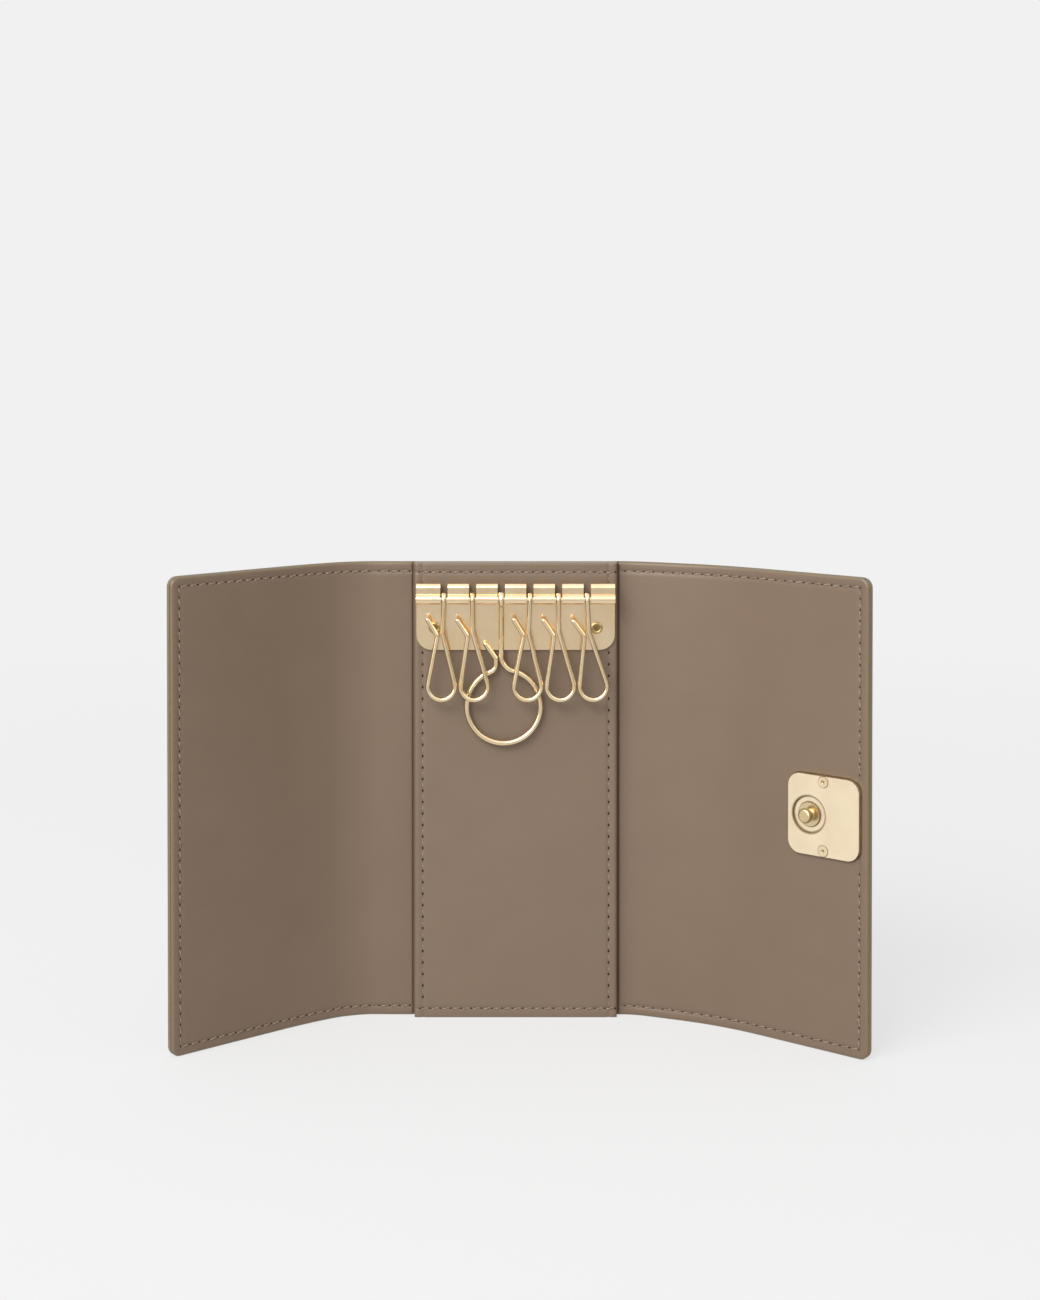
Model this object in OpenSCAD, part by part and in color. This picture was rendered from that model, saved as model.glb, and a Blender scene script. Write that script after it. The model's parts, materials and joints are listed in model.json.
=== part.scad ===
// Trifold key case, open and standing on its lower edges like a folding screen.
// A leather spine carries a raised hook panel with a rolled metal frame and six wire hooks.
// Each flap hangs on two folds, one at each side of a narrow side strip.
// The origin is the middle of the spine's lower edge, half way through its leather.
// +X points right, -Y out of the open side towards the hooks, +Z up.

/* [Leather] */
// Height of the case, lower edge to upper edge
case_h = 108; // [100:1:125]
// Thickness of the outer leather
outer_t = 1.4; // [1.3:0.1:1.8]
// Thickness of the lining leather
lining_t = 1; // [0.9:0.1:1.4]
// Radius of the flaps' corners
corner_r = 2.3; // [1:0.1:6]
// Thickness of the stiffener boards inside the flaps
board_t = 0.4; // [0.2:0.1:0.5]
// Distance of a board from the edges of its flap
board_inset = 4; // [3:0.5:8]

/* [Hook panel] */
// Width of the raised hook panel
panel_w = 48; // [48:1:56]
// Thickness of the panel's cover leather
cover_t = 1.2; // [0.8:0.1:1.6]
// Thickness of the panel's backing
backing_t = 0.8; // [0.5:0.1:1.4]

/* [Folds] */
// Distance of the left inner fold from the hook panel
left_fold_gap = 5; // [4:0.5:8]
// Width of the left side strip, fold to fold
left_strip_w = 9.5; // [9.5:0.5:16]
// Length of the left flap along its curve, from the outer fold to the free edge
left_flap_len = 49.7; // [44:0.1:54]
// Length of the curved part of the left flap
left_bend_len = 20; // [16:0.5:22]
// Turn of the left flap over its curved part
left_bend_deg = 10; // [4:0.5:14]
// Opening of the left inner fold as it stands
left_inner_deg = -2; // [-6:0.5:20]
// Opening of the left outer fold as it stands
left_outer_deg = 32; // [10:0.5:60]
// Distance of the right inner fold from the hook panel
right_fold_gap = 4; // [3.5:0.5:8]
// Length of the curved part of the right flap
right_bend_len = 18; // [14:0.5:20]
// Turn of the right flap over its curved part
right_bend_deg = 14.5; // [4:0.5:16]
// Opening of the right inner fold as it stands
right_inner_deg = 21.7; // [0:0.1:40]
// Opening of the right outer fold as it stands
right_outer_deg = 2; // [0:0.5:40]
// Gap between the leather of one fold part and the next
fold_gap = 0.3; // [0.2:0.05:0.6]

/* [Key frame] */
// Width of the frame
frame_w = 46.8; // [44:0.1:47]
// Depth of the frame's lower edge below the rod's centre
frame_drop = 12.2; // [11:0.1:18]
// Radius of the frame's lower corners
frame_corner_r = 3.6; // [1:0.1:6]
// Thickness of the frame's sheet
sheet_t = 0.6; // [0.5:0.05:0.7]
// Depth of the rod's centre below the case's upper edge
rod_depth = 8.3; // [7:0.1:12]
// Distance of the rod's centre from the hook panel's face
rod_out = 2.7; // [2.65:0.05:3.2]
// Radius of the rod
rod_r = 0.55; // [0.45:0.05:0.6]
// Clearance of the rod in the knuckles
rod_clear = 0.05; // [0.03:0.01:0.1]
// Height of the knuckles' upper roll above the rod's centre
roll_rise = 3.7; // [3.4:0.1:4.2]
// Spacing of the hooks along the rod
hook_pitch = 6.74; // [6.6:0.02:6.9]
// Width of the gaps between the knuckles
knuckle_gap = 1.74; // [1.6:0.02:2]

/* [Frame rivets] */
// Distance of each rivet from the middle of the frame
rivet_x = 19.1; // [17:0.1:20]
// Depth of the rivets below the rod's centre
rivet_drop = 7; // [5.4:0.1:8]
// Radius of a rivet's rolled head
rivet_head_r = 1.45; // [1.2:0.05:1.7]
// Radius of a rivet's shank
rivet_shank_r = 0.8; // [0.6:0.05:0.9]
// Radius of a washer behind the panel
rivet_washer_r = 2.2; // [1.8:0.1:2.6]

/* [Hooks] */
// Radius of the teardrop hooks' wire
hook_wire_r = 0.55; // [0.45:0.005:0.56]
// Radius of the ring hook's wire
ring_wire_r = 0.65; // [0.5:0.01:0.68]
// Clearance of a wire eye on the rod
eye_clear = 0.075; // [0.05:0.005:0.1]
// Radius of a teardrop's round end, at the middle of the wire
loop_r = 3.2; // [3:0.025:3.225]
// Depth of the round end's centre below the rod
loop_drop = 20.3; // [18:0.1:24]
// Depth at which a teardrop's stem starts to slope
stem_drop = 7.6; // [6:0.1:8]
// Depth of a teardrop's spring gate below the rod
gate_drop = 8.5; // [7.8:0.1:10]
// Radius of the ring, at the middle of the wire
ring_r = 8.7; // [8:0.1:9]
// Depth of the ring's centre below the rod
ring_drop = 25.4; // [24:0.1:28]
// Depth of the ring hook's spring gate below the rod
ring_gate_drop = 14.1; // [13:0.1:14.4]
// Gap at a hook's spring gate
gate_gap = 0.05; // [0.03:0.01:0.2]

/* [Snap] */
// Distance of the closed snap from the middle of the case
snap_x = -4.4; // [-6:0.1:-4]
// Depth of the snap below the middle of the case's height
snap_drop = 0.5; // [-16:0.5:14]
// Gap between the two flaps when the case is closed
closure_gap = 2.5; // [2.5:0.05:3]
// Width and height of the square stud plate
plate_w = 18.2; // [17:0.1:20]
// Radius of the stud plate's corners
plate_corner_r = 3; // [1:0.1:5]
// Thickness of the stud plate
plate_t = 1; // [0.9:0.05:1.1]
// Distance of the stud plate from the flap's free edge
plate_margin = 1.8; // [1:0.1:3]
// Distance of the stud from the plate's middle, towards the fold
stud_shift = 3.7; // [3:0.1:4]
// Radius of the round recess in the stud plate
recess_r = 4.2; // [4.15:0.05:4.6]
// Depth of the round recess in the stud plate
recess_depth = 0.5; // [0.5:0.05:0.6]
// Height of the stud above the floor of the recess
stud_h = 2.8; // [2.6:0.05:2.9]
// Radius of the stud's head
stud_head_r = 1.7; // [1.6:0.05:1.75]
// Radius of the stud's neck
stud_neck_r = 1.25; // [1.1:0.05:1.3]
// Radius of the socket's rim
socket_r = 4; // [3.7:0.05:4]
// Height of the socket above the leather
socket_h = 1.5; // [1.3:0.05:1.5]

/* [Hidden] */
$fn = 96;
LEATHER = "#8d7a67";
LINING = "#88745f";
BOARD = "#b9a88d";
GOLD = "#e2cd98";
PALE_GOLD = "#ecdcb0";
// Overrun of every cut past the face that it opens
over = 0.5;

// Layers of leather, counted through the thickness: 0 at the middle, positive at the outside.
leather_t = outer_t + lining_t;
outside = leather_t / 2;
inside = -leather_t / 2;
seam = outside - outer_t;
relief_r = outside + fold_gap;

// The hook panel lies on the lining of the spine.
panel_face = inside - backing_t - cover_t;

// Fold lines, measured from the middle of the spine.
left_fold_x = panel_w / 2 + left_fold_gap;
right_fold_x = panel_w / 2 + right_fold_gap;

// A flap's curved part is an arc; these give its radius, reach and rise.
function bend_r(length, deg) = length / (deg * PI / 180);
function bend_reach(length, deg) = bend_r(length, deg) * sin(deg);
function bend_rise(length, deg) = bend_r(length, deg) * (1 - cos(deg));

// The right strip is wide enough for the right flap to close over the left one.
right_strip_w = left_strip_w + bend_rise(left_bend_len, left_bend_deg)
    - bend_rise(right_bend_len, right_bend_deg) + leather_t + closure_gap;

// The stud and the socket meet at snap_x when both flaps are closed.
snap_height = case_h / 2 - snap_drop;
stud_u = right_fold_x - bend_reach(right_bend_len, right_bend_deg) - snap_x;
plate_u = stud_u + stud_shift;
right_straight = plate_u + plate_w / 2 + plate_margin;
left_straight = left_flap_len - left_bend_len;
socket_u = snap_x + left_fold_x - bend_reach(left_bend_len, left_bend_deg);

// Steps of the curved part of a flap.
bend_steps = 20;

// Boards lie in pockets in the back of the lining.
board_fit = 0.15;
board_corner_r = 2;

// Frame: a flat sheet whose seven fingers roll over at the top and close round the rod.
rod_height = case_h - rod_depth;
frame_low = rod_height - frame_drop;
rivet_height = rod_height - rivet_drop;
rod_y = panel_face - rod_out;
curl_inner_r = rod_r + rod_clear;
curl_outer_r = curl_inner_r + sheet_t;
roll_outer_r = (rod_out - curl_inner_r + sheet_t / 2) / 2;
roll_inner_r = roll_outer_r - sheet_t;
roll_up = roll_rise - roll_outer_r;
finger_low = curl_inner_r;
inner_knuckles = 5;
knuckle_w = hook_pitch - knuckle_gap;
end_knuckle_w = (frame_w - inner_knuckles * hook_pitch - knuckle_gap) / 2;

// Rivets of the frame.
rivet_fit = 0.05;
rivet_rim_r = 0.4;
rivet_floor_t = 0.25;
washer_t = 0.35;
rivet_tail_t = 0.2;
rivet_tail_r = 1.2;
washer_fit = 0.15;

// Wire eyes.
eye_turn = 262;
function eye_r(wire_r) = rod_r + eye_clear + wire_r;
joint_gap = 0.05;
bead_share = 1.01;
// Each teardrop: place along the rod in pitches, and lean of the hook in degrees.
TEARDROP_SHARES = [[-2.5, -2.5], [-1.5, 0.2], [0.5, -2.5], [1.5, 0.3], [2.5, 3.1]];
ring_place_share = -0.5;
loop_shift = 0.3;
stem_bend_r = 2;
gate_bend_r = 1;
tail_reach = 2.4;
tail_rise = 3.7;
ring_shift = 0.54;
ring_stem_bend_r = 3.5;
ring_gate_bend_r = 1.8;
// Straight run of the ring's wire between two opposite bends
ring_blend_run = 0.6;
ring_tail_rise = 3.4;

// Snap hardware.
plate_face = inside - plate_t;
recess_floor = plate_face + recess_depth;
stud_base_r = 2.75;
stud_base_t = 0.35;
stud_head_t = 1.3;
stud_edge_r = 0.6;
post_r = 1.1;
post_fit = 0.05;
stud_washer_r = 3.2;
stud_washer_t = 0.4;
pin_offset = 7.8;
pin_head_r = 1.2;
pin_head_t = 0.15;
pin_shank_r = 0.6;
pin_dimple_r = 0.45;
pin_dimple_depth = 0.3;
socket_mouth_r = 1.9;
socket_bore_r = 2.35;
socket_barrel_r = 2.7;
socket_lip_t = 0.3;
socket_floor_t = 0.3;
socket_step_r = 3.3;
socket_step_t = 0.5;
socket_washer_r = 4;
// Extra depth of the washer's pocket in the lining, below the board's pocket
pocket_spare = 0.1;
spring_wire_r = 0.2;
spring_neck_gap = 0.25;
spring_offset = stud_neck_r + spring_wire_r + spring_neck_gap;
spring_end_gap = 0.05;

// A slab of leather between two levels, from the fold line outwards.
module slab(low, high, length) {
    translate([0, low, 0]) cube([length, high - low, case_h]);
}

// The round nose with which a slab starts at its fold line.
module nose(low, high) {
    intersection() {
        cylinder(r = outside, h = case_h);
        translate([-outside, low, 0]) cube([outside, high - low, case_h]);
    }
}

// The hollow at the end of a slab, in which the next slab's nose turns.
module fold_relief() {
    translate([0, 0, -over]) cylinder(r = relief_r, h = case_h + 2 * over);
}

// Side view of a flap with rounded corners at its free edge, from behind its fold to that edge.
module free_end(length, radius, height) {
    behind = case_h;
    translate([-behind, 0]) square([behind + length - radius, height]);
    translate([0, radius]) square([length, height - 2 * radius]);
    translate([length - radius, radius]) circle(r = radius);
    translate([length - radius, height - radius]) circle(r = radius);
}

// Outline of a sheet with four rounded corners, from its lower left corner.
module rounded_sheet(width, height, radius) {
    translate([radius, 0]) square([width - 2 * radius, height]);
    translate([0, radius]) square([width, height - 2 * radius]);
    for (x = [radius, width - radius], y = [radius, height - radius])
        translate([x, y]) circle(r = radius);
}

// Places along a flap's middle line: [distance, turn so far] at every step of its curve and at its end.
function flap_path(length, deg, straight) = [
    for (i = [0 : bend_steps]) [length * i / bend_steps, deg * i / bend_steps],
    [length + straight + over, deg]
];

// The point of a flap's plan at a place on its path and a level in its thickness.
function plan_point(place, level, length, deg) =
    let (
        radius = bend_r(length, deg),
        turn = place[1],
        past = max(place[0] - length, 0)
    ) [
        (radius + level) * sin(turn) + past * cos(turn),
        (radius + level) * cos(turn) - radius - past * sin(turn)
    ];

// Stands an outline up between two levels of leather.
module between(low, high) {
    translate([0, high, 0]) rotate([90, 0, 0]) linear_extrude(high - low) children();
}

// A round bar through the leather at a given place and height, between two levels.
module through(u, height, low, high, radius) {
    translate([u, high, height]) rotate([90, 0, 0]) cylinder(r = radius, h = high - low);
}

// Moves to the straight part of a flap.
module past_bend(length, deg) {
    translate([bend_reach(length, deg), -bend_rise(length, deg), 0]) rotate([0, 0, -deg]) children();
}

// One layer of a flap: nose, curved part and straight part, trimmed to its rounded corners.
module flap_layer(low, high, length, deg, straight) {
    path = flap_path(length, deg, straight);
    count = len(path);
    reach = bend_rise(length, deg) + leather_t;
    intersection() {
        union() {
            nose(low, high);
            linear_extrude(case_h) polygon([
                for (i = [0 : count - 1]) plan_point(path[i], low, length, deg),
                for (i = [count - 1 : -1 : 0]) plan_point(path[i], high, length, deg)
            ]);
        }
        past_bend(length, deg)
            between(-reach, reach) free_end(straight, corner_r, case_h);
    }
}

// Outer leather of a side strip.
module strip_outer(width) {
    difference() {
        union() {
            nose(seam, outside);
            slab(seam, outside, width);
        }
        translate([width, 0, 0]) fold_relief();
    }
}

// Lining of a side strip.
module strip_lining(width) {
    nose(inside, seam);
    slab(inside, seam, width - relief_r);
}

// A stiffener board in the straight part of a flap, grown all round by a clearance.
module board(straight, grow) {
    translate([0, 0, board_inset - grow])
        between(seam - board_t, seam)
            translate([board_inset - grow, 0])
                rounded_sheet(straight - 2 * board_inset + 2 * grow,
                    case_h - 2 * board_inset + 2 * grow, board_corner_r + grow);
}

// Places a part of the left side, drawn as a right-hand one, on the side strip or the flap.
module on_left_strip() {
    mirror([1, 0, 0]) translate([left_fold_x, 0, 0]) rotate([0, 0, -left_inner_deg]) children();
}
module on_left_flap() {
    on_left_strip() translate([left_strip_w, 0, 0]) rotate([0, 0, -left_outer_deg]) children();
}
module on_left_end() {
    on_left_flap() past_bend(left_bend_len, left_bend_deg) children();
}

// Places a part of the right side on the side strip or the flap.
module on_right_strip() {
    translate([right_fold_x, 0, 0]) rotate([0, 0, -right_inner_deg]) children();
}
module on_right_flap() {
    on_right_strip() translate([right_strip_w, 0, 0]) rotate([0, 0, -right_outer_deg]) children();
}
module on_right_end() {
    on_right_flap() past_bend(right_bend_len, right_bend_deg) children();
}

// Spine.
module spine_outer() {
    color(LEATHER) difference() {
        translate([-left_fold_x, 0, 0]) slab(seam, outside, left_fold_x + right_fold_x);
        translate([-left_fold_x, 0, 0]) fold_relief();
        translate([right_fold_x, 0, 0]) fold_relief();
    }
}

module spine_lining() {
    width = left_fold_x + right_fold_x - 2 * relief_r;
    color(LINING) difference() {
        translate([relief_r - left_fold_x, 0, 0]) slab(inside, seam, width);
        at_rivets(inside - over, inside + washer_t + rivet_tail_t + washer_fit,
            rivet_washer_r + washer_fit);
    }
}

// Two round bars at the places of the frame's rivets.
module at_rivets(low, high, radius) {
    for (side = [-1, 1]) through(side * rivet_x, rivet_height, low, high, radius);
}

// Hook panel.
module hook_panel_backing() {
    color(LEATHER) difference() {
        translate([-panel_w / 2, 0, 0]) slab(inside - backing_t, inside, panel_w);
        at_rivets(inside - backing_t - over, inside + over, rivet_shank_r + rivet_fit);
    }
}

module hook_panel_cover() {
    color(LINING) difference() {
        translate([-panel_w / 2, 0, 0]) slab(panel_face, inside - backing_t, panel_w);
        at_rivets(panel_face - over, inside - backing_t + over, rivet_shank_r + rivet_fit);
    }
}

// Section of a knuckle. The first coordinate counts outwards from the panel, the second up from the rod.
module knuckle_section() {
    square([sheet_t, roll_up]);
    translate([roll_outer_r, roll_up]) difference() {
        circle(r = roll_outer_r);
        circle(r = roll_inner_r);
        translate([-roll_outer_r - over, -roll_outer_r - over])
            square([2 * roll_outer_r + 2 * over, roll_outer_r + over]);
    }
    difference() {
        union() {
            translate([2 * roll_outer_r - sheet_t, 0]) square([sheet_t, roll_up]);
            translate([rod_out, 0]) circle(r = curl_outer_r);
        }
        translate([rod_out, 0]) circle(r = curl_inner_r);
    }
}

// One knuckle, its middle at x.
module knuckle(x, width) {
    translate([x + width / 2, panel_face, rod_height])
        rotate([90, 0, 0]) rotate([0, -90, 0]) linear_extrude(width) knuckle_section();
}

// Frame sheet with rounded lower corners and a straight upper edge under the fingers.
module frame_sheet() {
    height = frame_drop + finger_low;
    translate([-frame_w / 2, panel_face, frame_low]) rotate([90, 0, 0]) linear_extrude(sheet_t) {
        translate([frame_corner_r, 0]) square([frame_w - 2 * frame_corner_r, height]);
        translate([0, frame_corner_r]) square([frame_w, height - frame_corner_r]);
        for (x = [frame_corner_r, frame_w - frame_corner_r])
            translate([x, frame_corner_r]) circle(r = frame_corner_r);
    }
}

module key_frame() {
    color(GOLD) difference() {
        union() {
            frame_sheet();
            for (i = [0 : inner_knuckles - 1])
                knuckle((i - (inner_knuckles - 1) / 2) * hook_pitch, knuckle_w);
            for (side = [-1, 1])
                knuckle(side * (frame_w - end_knuckle_w) / 2, end_knuckle_w);
        }
        at_rivets(panel_face - sheet_t - over, panel_face + over, rivet_shank_r + rivet_fit);
    }
}

module hook_rod() {
    color(GOLD) translate([-frame_w / 2, rod_y, rod_height])
        rotate([0, 90, 0]) cylinder(r = rod_r, h = frame_w);
}

// Rivet along its axis: a rolled rim round a dimple, a shank and a tail set over the washer.
module rivet() {
    shank_len = sheet_t + cover_t + backing_t + washer_t;
    rim_mean_r = rivet_head_r - rivet_rim_r;
    cylinder(r = rim_mean_r, h = rivet_floor_t);
    intersection() {
        rotate_extrude() translate([rim_mean_r, 0]) circle(r = rivet_rim_r);
        cylinder(r = rivet_head_r + over, h = rivet_rim_r + over);
    }
    translate([0, 0, -shank_len]) cylinder(r = rivet_shank_r, h = shank_len);
    translate([0, 0, -shank_len - rivet_tail_t]) cylinder(r = rivet_tail_r, h = rivet_tail_t);
}

module frame_rivets() {
    color(PALE_GOLD) for (side = [-1, 1])
        translate([side * rivet_x, panel_face - sheet_t, rivet_height]) rotate([90, 0, 0]) rivet();
}

module frame_rivet_washers() {
    color(GOLD) difference() {
        at_rivets(inside, inside + washer_t, rivet_washer_r);
        at_rivets(inside - over, inside + washer_t + over, rivet_shank_r + rivet_fit);
    }
}

// A bent wire that runs down from the origin. Each move is [length, turn, radius]:
// a straight run, then a turn towards +X (positive) or -X (negative) round that radius.
// Runs and turns stop just short of each other, and a bead hardly wider than the wire joins them.
module wire(moves, wire_r, i = 0) {
    run = moves[i][0];
    turn = moves[i][1];
    radius = moves[i][2];
    last = i + 1 == len(moves);
    from = i == 0 ? 0 : joint_gap;
    to = last ? run : run - joint_gap;
    side = turn < 0 ? -1 : 1;
    translate([0, 0, -to]) cylinder(r = wire_r, h = to - from);
    translate([0, 0, -run]) {
        if (last) {
            wire_tip(wire_r);
        } else {
            skip = joint_gap / radius * 180 / PI;
            sphere(r = wire_r * bead_share);
            mirror([turn < 0 ? 1 : 0, 0, 0]) translate([radius, 0, 0]) rotate([90, 0, 0])
                rotate_extrude(angle = abs(turn) - 2 * skip, start = 180 + skip)
                    translate([radius, 0]) circle(r = wire_r);
            translate([side * radius * (1 - cos(turn)), 0, -radius * sin(abs(turn))])
                rotate([0, -turn, 0]) {
                    sphere(r = wire_r * bead_share);
                    wire(moves, wire_r, i + 1);
                }
        }
    }
}

// The rounded end of a wire.
module wire_tip(wire_r) {
    mirror([0, 0, 1]) rotate_extrude() intersection() {
        circle(r = wire_r);
        square([wire_r, wire_r]);
    }
}

// The eye of a wire round the rod, from the top of the stem over the rod and under it.
module eye(wire_r) {
    rotate([0, 90, 0])
        rotate_extrude(angle = eye_turn, start = 270 - eye_turn)
            translate([eye_r(wire_r), 0]) circle(r = wire_r);
}

// Length taken off a straight run by a turn at one of its ends.
function turn_cut(turn, radius) = radius * tan(abs(turn) / 2);

// A teardrop hook: stem, sloping leg, round end, second leg up to the spring gate, and a tail.
module teardrop() {
    gate_x = -(2 * hook_wire_r + gate_gap);
    stem_gap = norm([loop_shift, loop_drop - stem_drop]);
    stem_turn = atan2(loop_shift, loop_drop - stem_drop) + asin(loop_r / stem_gap);
    stem_run = sqrt(pow(stem_gap, 2) - pow(loop_r, 2));
    gate_to_loop = norm([loop_shift - gate_x, loop_drop - gate_drop]);
    leg_turn = asin(loop_r / gate_to_loop) - atan2(loop_shift - gate_x, loop_drop - gate_drop);
    leg_run = sqrt(pow(gate_to_loop, 2) - pow(loop_r, 2));
    tail_turn = leg_turn + atan2(tail_reach, tail_rise);
    stem_cut = turn_cut(stem_turn, stem_bend_r);
    gate_cut = turn_cut(tail_turn, gate_bend_r);
    wire([
        [stem_drop - stem_cut, stem_turn, stem_bend_r],
        [stem_run - stem_cut, -(180 + stem_turn + leg_turn), loop_r],
        [leg_run - gate_cut, tail_turn, gate_bend_r],
        [norm([tail_reach, tail_rise]) - gate_cut, 0, 0]
    ], hook_wire_r);
}

// One teardrop hook on the rod, its eye at the front of the rod.
module key_hook(index) {
    place = TEARDROP_SHARES[index];
    color(GOLD) translate([place[0] * hook_pitch, rod_y, rod_height]) rotate([0, -place[1], 0]) {
        eye(hook_wire_r);
        translate([0, -eye_r(hook_wire_r), 0]) teardrop();
    }
}

// The ring hook: stem, turn into the ring, nearly a full circle, spring gate and tail.
module ring() {
    gate_x = -(2 * ring_wire_r + gate_gap);
    out_x = ring_stem_bend_r - ring_shift;
    out_gap = norm([ring_stem_bend_r + ring_r, ring_blend_run]);
    out_turn = 90 - asin(out_x / out_gap) - atan2(ring_blend_run, ring_stem_bend_r + ring_r);
    stem_run = ring_drop - sqrt(pow(out_gap, 2) - pow(out_x, 2));
    back_x = ring_shift - gate_x + ring_gate_bend_r;
    back_gap = norm([ring_gate_bend_r + ring_r, ring_blend_run]);
    back_turn = 90 - asin(back_x / back_gap) - atan2(ring_blend_run, ring_gate_bend_r + ring_r);
    gate_run = ring_drop - sqrt(pow(back_gap, 2) - pow(back_x, 2)) - ring_gate_drop;
    tail_turn = atan2(tail_reach, ring_tail_rise);
    gate_cut = turn_cut(tail_turn, gate_bend_r);
    wire([
        [stem_run, out_turn, ring_stem_bend_r],
        [ring_blend_run, -(180 + out_turn + back_turn), ring_r],
        [ring_blend_run, back_turn, ring_gate_bend_r],
        [gate_run - gate_cut, tail_turn, gate_bend_r],
        [norm([tail_reach, ring_tail_rise]) - gate_cut, 0, 0]
    ], ring_wire_r);
}

// The ring hook hangs from the back of the rod, behind its neighbours.
module ring_hook() {
    color(GOLD) translate([ring_place_share * hook_pitch, rod_y, rod_height]) {
        mirror([0, 1, 0]) eye(ring_wire_r);
        translate([0, eye_r(ring_wire_r), 0]) ring();
    }
}

// Left side.
module left_side_outer() {
    color(LEATHER) on_left_strip() strip_outer(left_strip_w);
}

module left_side_lining() {
    color(LINING) on_left_strip() strip_lining(left_strip_w);
}

module left_flap_outer() {
    color(LEATHER) on_left_flap() difference() {
        flap_layer(seam, outside, left_bend_len, left_bend_deg, left_straight);
        past_bend(left_bend_len, left_bend_deg)
            through(socket_u, snap_height, seam - over, outside + over, socket_barrel_r + post_fit);
    }
}

module left_flap_lining() {
    color(LINING) on_left_flap() difference() {
        flap_layer(inside, seam, left_bend_len, left_bend_deg, left_straight);
        past_bend(left_bend_len, left_bend_deg) {
            board(left_straight, board_fit);
            through(socket_u, snap_height, seam - board_t - pocket_spare, seam + over,
                socket_washer_r + washer_fit);
        }
    }
}

module left_flap_board() {
    color(BOARD) on_left_end() difference() {
        board(left_straight, 0);
        through(socket_u, snap_height, seam - board_t - over, seam + over,
            socket_washer_r + washer_fit);
    }
}

// Right side.
module right_side_outer() {
    color(LEATHER) on_right_strip() strip_outer(right_strip_w);
}

module right_side_lining() {
    color(LINING) on_right_strip() strip_lining(right_strip_w);
}

module right_flap_outer() {
    color(LEATHER) on_right_flap() difference() {
        flap_layer(seam, outside, right_bend_len, right_bend_deg, right_straight);
        past_bend(right_bend_len, right_bend_deg)
            through(stud_u, snap_height, seam - over, seam + stud_washer_t, stud_washer_r + washer_fit);
    }
}

// Two round bars at the places of the stud plate's pins.
module at_pins(low, high, radius) {
    for (side = [-1, 1]) through(plate_u, snap_height + side * pin_offset, low, high, radius);
}

module right_flap_lining() {
    color(LINING) on_right_flap() difference() {
        flap_layer(inside, seam, right_bend_len, right_bend_deg, right_straight);
        past_bend(right_bend_len, right_bend_deg) {
            board(right_straight, board_fit);
            through(stud_u, snap_height, inside - over, seam + over, post_r + post_fit);
            at_pins(inside - over, seam + over, pin_shank_r + post_fit);
        }
    }
}

module right_flap_board() {
    color(BOARD) on_right_end() difference() {
        board(right_straight, 0);
        through(stud_u, snap_height, seam - board_t - over, seam + over, post_r + board_fit);
        at_pins(seam - board_t - over, seam + over, pin_shank_r + board_fit);
    }
}

// Square plate with a round recess for the stud.
module stud_plate() {
    color(GOLD) on_right_end() difference() {
        translate([plate_u - plate_w / 2, 0, snap_height - plate_w / 2])
            between(plate_face, inside) rounded_sheet(plate_w, plate_w, plate_corner_r);
        through(stud_u, snap_height, plate_face - over, recess_floor, recess_r);
        through(stud_u, snap_height, plate_face - over, inside + over, post_r + post_fit);
        at_pins(plate_face - over, inside + over, pin_shank_r + post_fit);
    }
}

// Stud along its axis: post, base, neck and rounded head.
module stud() {
    post_len = seam - recess_floor + stud_washer_t;
    translate([0, 0, -post_len]) cylinder(r = post_r, h = post_len);
    cylinder(r = stud_base_r, h = stud_base_t);
    cylinder(r = stud_neck_r, h = stud_h - stud_head_t / 2);
    translate([0, 0, stud_h - stud_head_t]) {
        cylinder(r = stud_head_r - stud_edge_r, h = stud_head_t);
        translate([0, 0, stud_edge_r])
            cylinder(r = stud_head_r, h = stud_head_t - 2 * stud_edge_r);
        for (z = [stud_edge_r, stud_head_t - stud_edge_r]) translate([0, 0, z])
            rotate_extrude() translate([stud_head_r - stud_edge_r, 0]) circle(r = stud_edge_r);
    }
}

module snap_stud() {
    color(PALE_GOLD) on_right_end() translate([stud_u, recess_floor, snap_height])
        rotate([90, 0, 0]) stud();
}

module stud_plate_rivets() {
    color(PALE_GOLD) on_right_end() difference() {
        union() {
            at_pins(plate_face - pin_head_t, plate_face, pin_head_r);
            at_pins(plate_face, seam, pin_shank_r);
        }
        at_pins(plate_face - pin_head_t - over, plate_face - pin_head_t + pin_dimple_depth,
            pin_dimple_r);
    }
}

module stud_washer() {
    color(GOLD) on_right_end() difference() {
        through(stud_u, snap_height, seam, seam + stud_washer_t, stud_washer_r);
        through(stud_u, snap_height, seam - over, seam + stud_washer_t + over, post_r + post_fit);
    }
}

// Socket along its axis, the leather's face at 0: barrel, stepped rim, bore and mouth.
module socket() {
    difference() {
        union() {
            translate([0, 0, -outer_t]) cylinder(r = socket_barrel_r, h = outer_t);
            cylinder(r = socket_r, h = socket_h - socket_step_t);
            cylinder(r = socket_step_r, h = socket_h);
        }
        translate([0, 0, socket_floor_t - outer_t])
            cylinder(r = socket_bore_r, h = outer_t - socket_floor_t + socket_h - socket_lip_t);
        cylinder(r = socket_mouth_r, h = socket_h + over);
    }
}

module snap_socket() {
    color(GOLD) on_left_end() translate([socket_u, outside, snap_height])
        rotate([-90, 0, 0]) socket();
}

// Two straight spring wires in the socket, one at each side of the stud's neck.
module socket_springs() {
    half_len = sqrt(pow(socket_bore_r - spring_end_gap, 2) - pow(spring_offset + spring_wire_r, 2));
    color(PALE_GOLD) on_left_end()
        translate([socket_u, outside + socket_h - socket_lip_t - 2 * spring_wire_r, snap_height])
            for (side = [-1, 1]) translate([side * spring_offset, 0, -half_len])
                cylinder(r = spring_wire_r, h = 2 * half_len);
}

module socket_washer() {
    color(GOLD) on_left_end()
        through(socket_u, snap_height, seam - board_t, seam, socket_washer_r);
}

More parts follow.
